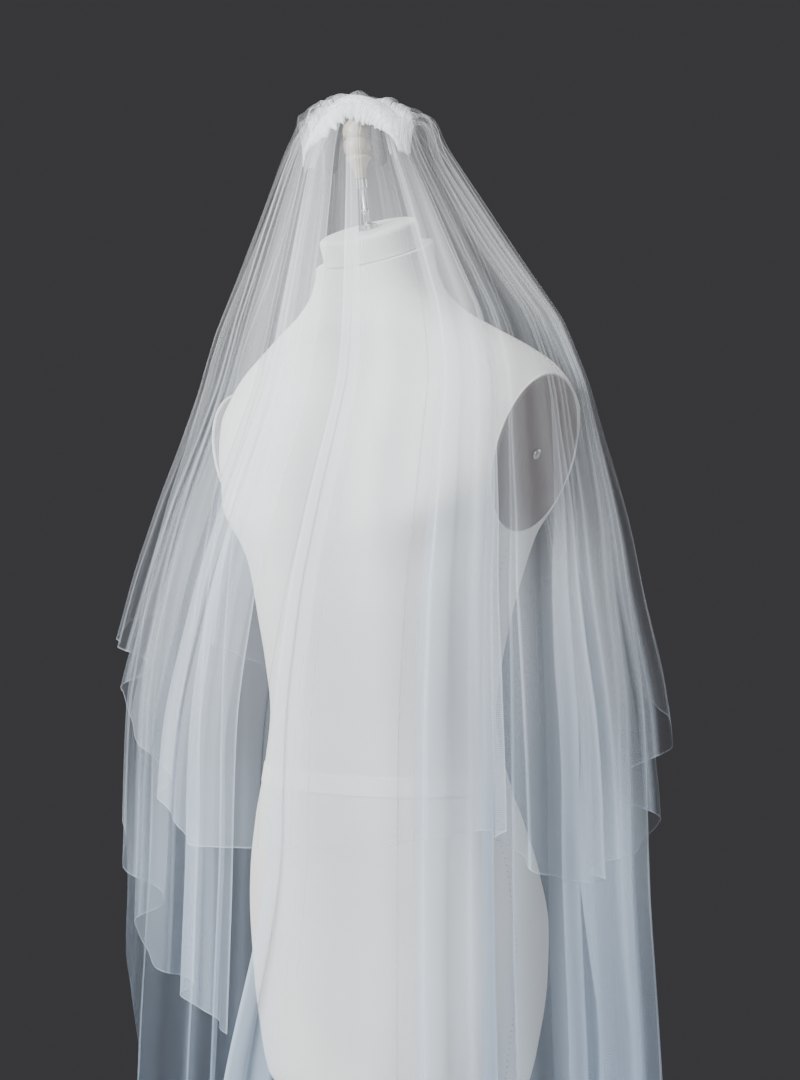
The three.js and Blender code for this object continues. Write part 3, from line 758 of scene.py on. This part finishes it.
# The cloth is clearer in front of the finial and over the left arm plate, and on the far side of the lower
# tier above the form's hips.
CLEAR_FRONT = {"azimuth": 38, "across": 26, "share": 0.9}
CLEAR_PLATE = {
    "azimuth": 79, "across": 19, "from_z": 1130, "rise": 120, "cone_share": 0.85, "edge_share": 0.7,
}
FAR_SIDE = {"opposite": 37, "from": 60, "top_z": 1030, "fall": 150, "high_share": 0.15}

COLUMNS_PER_FOLD = 24
# Levels run from 0 at the stitching to LAST_LEVEL where the crown ends, and as far again to the hem.
LAST_LEVEL = 5
CROWN_ROWS = 26
HANGING_ROWS = 44
HEM_BAND = 1.6


def level_at(row):
    if row <= CROWN_ROWS:
        return LAST_LEVEL * row / CROWN_ROWS
    return LAST_LEVEL + LAST_LEVEL * (row - CROWN_ROWS) / HANGING_ROWS


def fading(level, across, start=0.0):
    """1 at the start level, and nothing far above or below it."""
    return math.exp(-((level - start) / across) ** 2)


def near(azimuth, window):
    """1 in the middle of a window of azimuths, and nothing far from it."""
    return math.exp(-(degrees_between(azimuth, window["azimuth"]) / window["across"]) ** 4)


def shoulder_ease(azimuth, z):
    across = math.cos(azimuth * RAD) / SHOULDER["across"]
    down = (z - SHOULDER["z"]) / SHOULDER["down"]
    return 1 - SHOULDER["share"] * math.exp(-across ** 2 - down ** 2)


def front_ease(azimuth, z):
    """The cloth lies nearly smooth where it hangs over the bust."""
    high = smooth((z - SMOOTH_FRONT["from_z"]) / SMOOTH_FRONT["rise"])
    return 1 - SMOOTH_FRONT["share"] * near(azimuth, SMOOTH_FRONT) * high


class Tier:
    """One tier of the veil on a grid: across it by fold, and down it from the stitching to the hem."""

    def __init__(self, name, folds, sections, inside, seed):
        self.name, self.folds, self.sections, self.inside = name, folds, sections, inside
        self.places = list(range(len(folds)))
        self.hems = [fold["hem"] for fold in folds]
        self.columns = (len(folds) - 1) * COLUMNS_PER_FOLD + 1
        self.seed = seed * 11.3

    def fold(self, place):
        """Azimuth, depth, hem height and sideways lap at a place between two ridges."""
        low = min(int(place), len(self.folds) - 2)
        t = place - low
        start, end = self.folds[low], self.folds[low + 1]
        azimuth = mix(start["azimuth"], end["azimuth"], t)
        depth = mix(start["depth"], end["depth"], t) * start["deep"]
        hem = curve_value(self.places, self.hems, place)
        return azimuth, depth, hem, start["lap"] * (end["azimuth"] - start["azimuth"]) / (4 * math.pi)

    def section(self, azimuth, hem, row):
        """Half width, half depth, middle, height and pleating at a row; past the crown it hangs."""
        endwise = abs(math.cos(azimuth * RAD)) ** BAND["power"]
        if row <= CROWN_ROWS:
            at = {name: crown.at(name, level_at(row)) for name in crown.names[1:]}
            z = mix(at["side"], at["crown"], endwise) - self.inside * at["drop"]
            inset = self.inside * at["inset"]
            return at["width"] - inset, at["depth"] - inset, at["middle"], z, at["pleat"]
        start = mix(crown.at("side", LAST_LEVEL), crown.at("crown", LAST_LEVEL), endwise)
        t = (row - CROWN_ROWS) / HANGING_ROWS
        z = mix(start, hem, t) if t <= 1 else hem - HEM_BAND
        pleat = min(1, mix(PLEATS["start"], 1, (PLEATS["from_z"] - z) / PLEATS["fall"]))
        width, depth, middle = (self.sections.at(name, z) for name in ("width", "depth", "middle"))
        return width, depth, middle, z, pleat

    def point(self, place, row):
        azimuth, depth, hem, lap = self.fold(place)
        width, deep, middle, z, pleat = self.section(azimuth, hem, row)
        level = level_at(row)
        open_out = min(1.0, pleat * 1.6)
        azimuth += self.edge_turn(place, z)
        azimuth += lap * math.sin(4 * math.pi * place) * open_out
        sin, cos = math.sin(azimuth * RAD), math.cos(azimuth * RAD)
        valley = (1 - math.cos(2 * math.pi * place)) / 2
        turn = Vector((4.0 * sin, 4.0 * cos, z * 0.006))
        drift = 1 + DRIFT * noise.noise(turn)
        ease = shoulder_ease(azimuth, z) * front_ease(azimuth, z)
        inward = depth * drift * pleat * ease * valley
        gather = 0.0
        for size, degrees in (GATHERS["fine"], GATHERS["coarse"]):
            gather += size * math.sin(2 * math.pi * azimuth / degrees)
        gather *= fading(level, GATHERS["across"], GATHERS["level"])
        puffed = fading(level, PUFFS["across"], PUFFS["level"])
        round_about = Vector((2.6 * sin, 2.6 * cos, 0.5 * level))
        bulge = puffed * PUFFS["out"] * noise.noise(round_about * 2.0)
        lift = noise.noise(round_about * 1.6 + Vector((9, 0, 0)))
        z += puffed * (PUFFS["up"] * lift - PUFFS["sag"])
        slack = SLACK * pleat * ease * noise.noise(turn * 2.2)
        inward += max(0.0, gather + slack)
        return Vector(((width + bulge - inward) * sin, middle - (deep + bulge - inward) * cos, z))

    def edge_turn(self, place, z):
        """How far the lower tier's two front edges swing round as they fall."""
        if not self.inside:
            return 0.0
        edges = FRONT_EDGES
        fallen = smooth((edges["from_z"] - z) / edges["fall"])
        left = max(0.0, 1 - place / edges["reach"]) * mix(edges["left_top"], edges["left_foot"], fallen)
        right = max(0.0, 1 - (len(self.folds) - 1 - place) / edges["reach"]) * edges["right"]
        return left + right

    def folded_edge(self, place):
        """1 at the two outer edges of a valley whose flanks lean over it, nothing elsewhere."""
        low = min(int(place), len(self.folds) - 2)
        lap = self.folds[low]["lap"]
        if lap <= 1:
            return 0.0
        turn = math.acos(-1 / lap) / (4 * math.pi)
        t = place - low
        off = min(abs(t - turn), abs(t - 1 + turn)) * COLUMNS_PER_FOLD
        return max(0.0, 1 - off)

    def density(self, place, row, z):
        """How much thicker the net stands than one flat layer: gathers at the top, creases, and cut edges."""
        level = level_at(row)
        azimuth = self.fold(place)[0]
        streak = noise.noise(Vector((place * 5.5, level * 0.25, self.seed)))
        fine = noise.noise(Vector((place * 12, level * 0.16, self.seed + 9)))
        cloud = noise.noise(Vector((place * 1.7, z * 0.004, 2.0)))

        clear = 1 - CLEAR_FRONT["share"] * near(azimuth, CLEAR_FRONT) * smooth(level / 0.5)
        over_plate = near(azimuth, CLEAR_PLATE) * smooth((z - CLEAR_PLATE["from_z"]) / CLEAR_PLATE["rise"])

        cone = self.folds[round(place)]["cover"] * (1 + 0.4 * cloud) * smooth((level - 0.8) / 4.5)
        if self.inside and abs(degrees_between(azimuth, FAR_SIDE["opposite"])) > FAR_SIDE["from"]:
            cone *= mix(FAR_SIDE["high_share"], 1.0, smooth((FAR_SIDE["top_z"] - z) / FAR_SIDE["fall"]))
        cone *= 1 - CLEAR_PLATE["cone_share"] * over_plate
        gathered = COVER["stitching"] * fading(level, FADE["stitching"])
        gathered += COVER["haze"] * fading(level, FADE["haze"])
        crease = COVER["crease"] * smooth((fine - 0.32) / 0.06) * fading(level, FADE["crease"])
        folded = COVER["folded_edge"] * self.folded_edge(place) * smooth((level - 0.6) / 1.5)

        value = cone + (gathered * max(0.0, 0.8 + 1.2 * streak) + crease) * clear
        value += folded * (1 - CLEAR_PLATE["edge_share"] * over_plate)
        edge = min(place, len(self.folds) - 1 - place) * COLUMNS_PER_FOLD
        if edge < 0.6 or row > CROWN_ROWS + HANGING_ROWS:
            value += COVER["cut_edge"]
        return min(COVER["most"], value)

    def build(self, cloth):
        rows = CROWN_ROWS + HANGING_ROWS + 2
        points, dense, uvs = [], [], []
        for row in range(rows):
            for column in range(self.columns):
                place = column / COLUMNS_PER_FOLD
                here = self.point(place, row)
                points.append(here)
                dense.append(self.density(place, row, here.z))
        across = [0.0]
        full = (rows - 2) * self.columns
        for column in range(1, self.columns):
            across.append(across[-1] + (points[full + column] - points[full + column - 1]).length * MM)
        down = [0.0]
        middle = self.columns // 2
        for row in range(1, rows):
            down.append(down[-1] + (points[row * self.columns + middle]
                                    - points[(row - 1) * self.columns + middle]).length * MM)
        uvs = [(across[column], down[row]) for row in range(rows) for column in range(self.columns)]
        mesh = mesh_from(self.name, points, ring_faces(rows, self.columns, closed=False), uvs)
        layer = mesh.attributes.new("dense", "FLOAT", "POINT")
        layer.data.foreach_set("value", dense)
        obj = new_object(self.name, mesh, cloth)
        print(self.name, "developed width", round(across[-1], 3), "length", round(down[-1], 3), "area",
              round(sum(face.area for face in mesh.polygons), 3))
        return obj


def fold_rows(tier, keep, turn=0):
    """The rows of the fold table that keep holds, with that tier's hem, turned on by some degrees."""
    rows = []
    for values in FOLDS.rows:
        fold = dict(zip(FOLDS.names, values))
        if keep(fold["azimuth"]):
            fold["azimuth"] += turn
            fold["hem"] = fold[tier]
            fold["cover"] = fold[tier + "_cover"]
            rows.append(fold)
    return rows


def make_veil():
    upper = Tier("upper_tulle", fold_rows("upper", lambda azimuth: True), upper_sections, 0, 3)
    from_left = fold_rows("lower", lambda azimuth: azimuth >= OPENING_LEFT)
    to_right = fold_rows("lower", lambda azimuth: azimuth <= OPENING_RIGHT, 360)
    lower = Tier("lower_tulle", from_left + to_right, lower_sections, 1, 8)
    net = tulle_material("tulle_net", 0.03, 0.2)
    upper_cloth = done(upper.build(net), "veil_upper_tier")
    lower_cloth = done(lower.build(net), "veil_lower_tier")


def make_studio():
    world = bpy.data.worlds.new("studio")
    world.use_nodes = True
    world.node_tree.nodes["Background"].inputs["Color"].default_value = (0.047, 0.046, 0.05, 1)
    bpy.context.scene.world = world
    floor = turned("floor", [(0, -20), (2200, -20), (2200, -0.2), (0, -0.2)], 128, floor_material())
    lights = [
        ("key", (-0.45, -2.3, 2.2), 1.3, 146),
        ("front_fill", (2.2, -1.9, 1.7), 1.8, 26),
        ("back_left", (-2.2, 0.5, 1.7), 1.6, 18),
        ("back_right", (1.6, 2.2, 1.7), 1.6, 18),
        ("top", (0.0, -0.3, 3.2), 1.5, 30),
    ]
    for name, place, size, power in lights:
        data = bpy.data.lights.new(name, "AREA")
        data.shape = "DISK"
        data.size = size
        data.energy = power
        light = bpy.data.objects.new(name, data)
        light.location = place
        aim = Vector((0, 0, 1.25)) - Vector(place)
        light.rotation_euler = aim.to_track_quat("-Z", "Y").to_euler()
        bpy.context.scene.collection.objects.link(light)


def make_object():
    linen, steel = linen_material(), metal_material("brushed_steel", (0.6, 0.61, 0.63), 0.3)
    make_torso(linen)
    # The seam thread is partly its own colour and partly painted shade: a darker grey than the light
    # stitches, for the slight shadows along the seams.
    thread = trim_material("seam_thread_with_painted_shade", (0.4, 0.4, 0.4), (0.56, 0.56, 0.55))
    make_form_trim(thread, trim_material("waist_tape", (0.84, 0.85, 0.84), (0.94, 0.94, 0.93)))
    make_form_parts(linen, plate_material(), steel)
    make_finial(knob_material(), steel)
    make_stand(iron_material(), steel)
    make_comb_rest(mesh_material())
    make_band(gather_material())
    make_veil()
    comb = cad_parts["comb"]
    comb.data.materials.clear()
    comb.data.materials.append(comb_material())


make_object()
make_studio()
